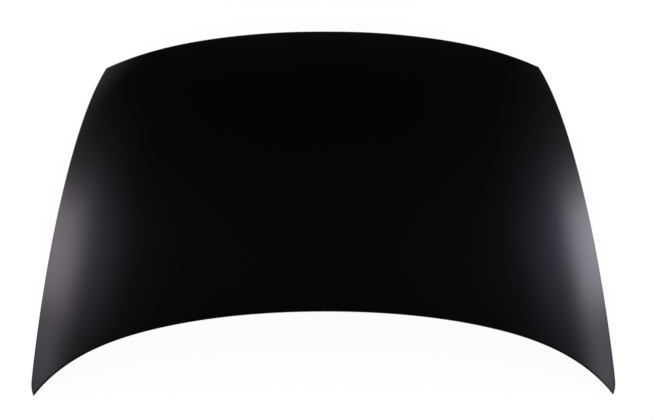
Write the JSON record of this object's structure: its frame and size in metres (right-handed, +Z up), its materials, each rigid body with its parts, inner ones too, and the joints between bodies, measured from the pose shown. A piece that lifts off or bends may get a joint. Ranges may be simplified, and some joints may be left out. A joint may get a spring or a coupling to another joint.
{
  "type": "car bonnet",
  "caption": "Bare car bonnet: a crowned steel skin hemmed round a ribbed inner frame, with hinge pads, a latch striker and swept-back rear corners.",
  "frame": {"origin": "middle of the floor that the bonnet lies on, outer side up", "axes": "+X to the right across the bonnet's full width, +Y towards the nose, +Z up"},
  "size_m": [1.4482, 1.0314, 0.1601],
  "materials": {
    "black_primer": "satin black dip primer",
    "mastic": "matte dark mastic"
  },
  "bodies": {
    "root": {"outer_skin": "black_primer", "inner_frame": "black_primer", "hinge_reinforcement_left": "black_primer", "hinge_nut_left_outer": "black_primer", "hinge_nut_left_inner": "black_primer", "hinge_reinforcement_right": "black_primer", "hinge_nut_right_outer": "black_primer", "hinge_nut_right_inner": "black_primer", "latch_reinforcement": "black_primer", "striker_base": "black_primer", "striker_loop": "black_primer", "mastic_bead_01": "mastic", "mastic_bead_02": "mastic", "mastic_bead_03": "mastic", "mastic_bead_04": "mastic", "mastic_bead_05": "mastic", "mastic_bead_06": "mastic", "mastic_bead_07": "mastic", "mastic_bead_08": "mastic", "mastic_bead_09": "mastic", "mastic_bead_10": "mastic", "mastic_bead_11": "mastic", "mastic_bead_12": "mastic", "mastic_bead_13": "mastic", "mastic_bead_14": "mastic", "mastic_bead_15": "mastic", "mastic_bead_16": "mastic", "mastic_bead_17": "mastic", "mastic_bead_18": "mastic", "mastic_bead_19": "mastic", "mastic_bead_20": "mastic", "mastic_bead_21": "mastic", "mastic_bead_22": "mastic"}
  },
  "joints": []
}
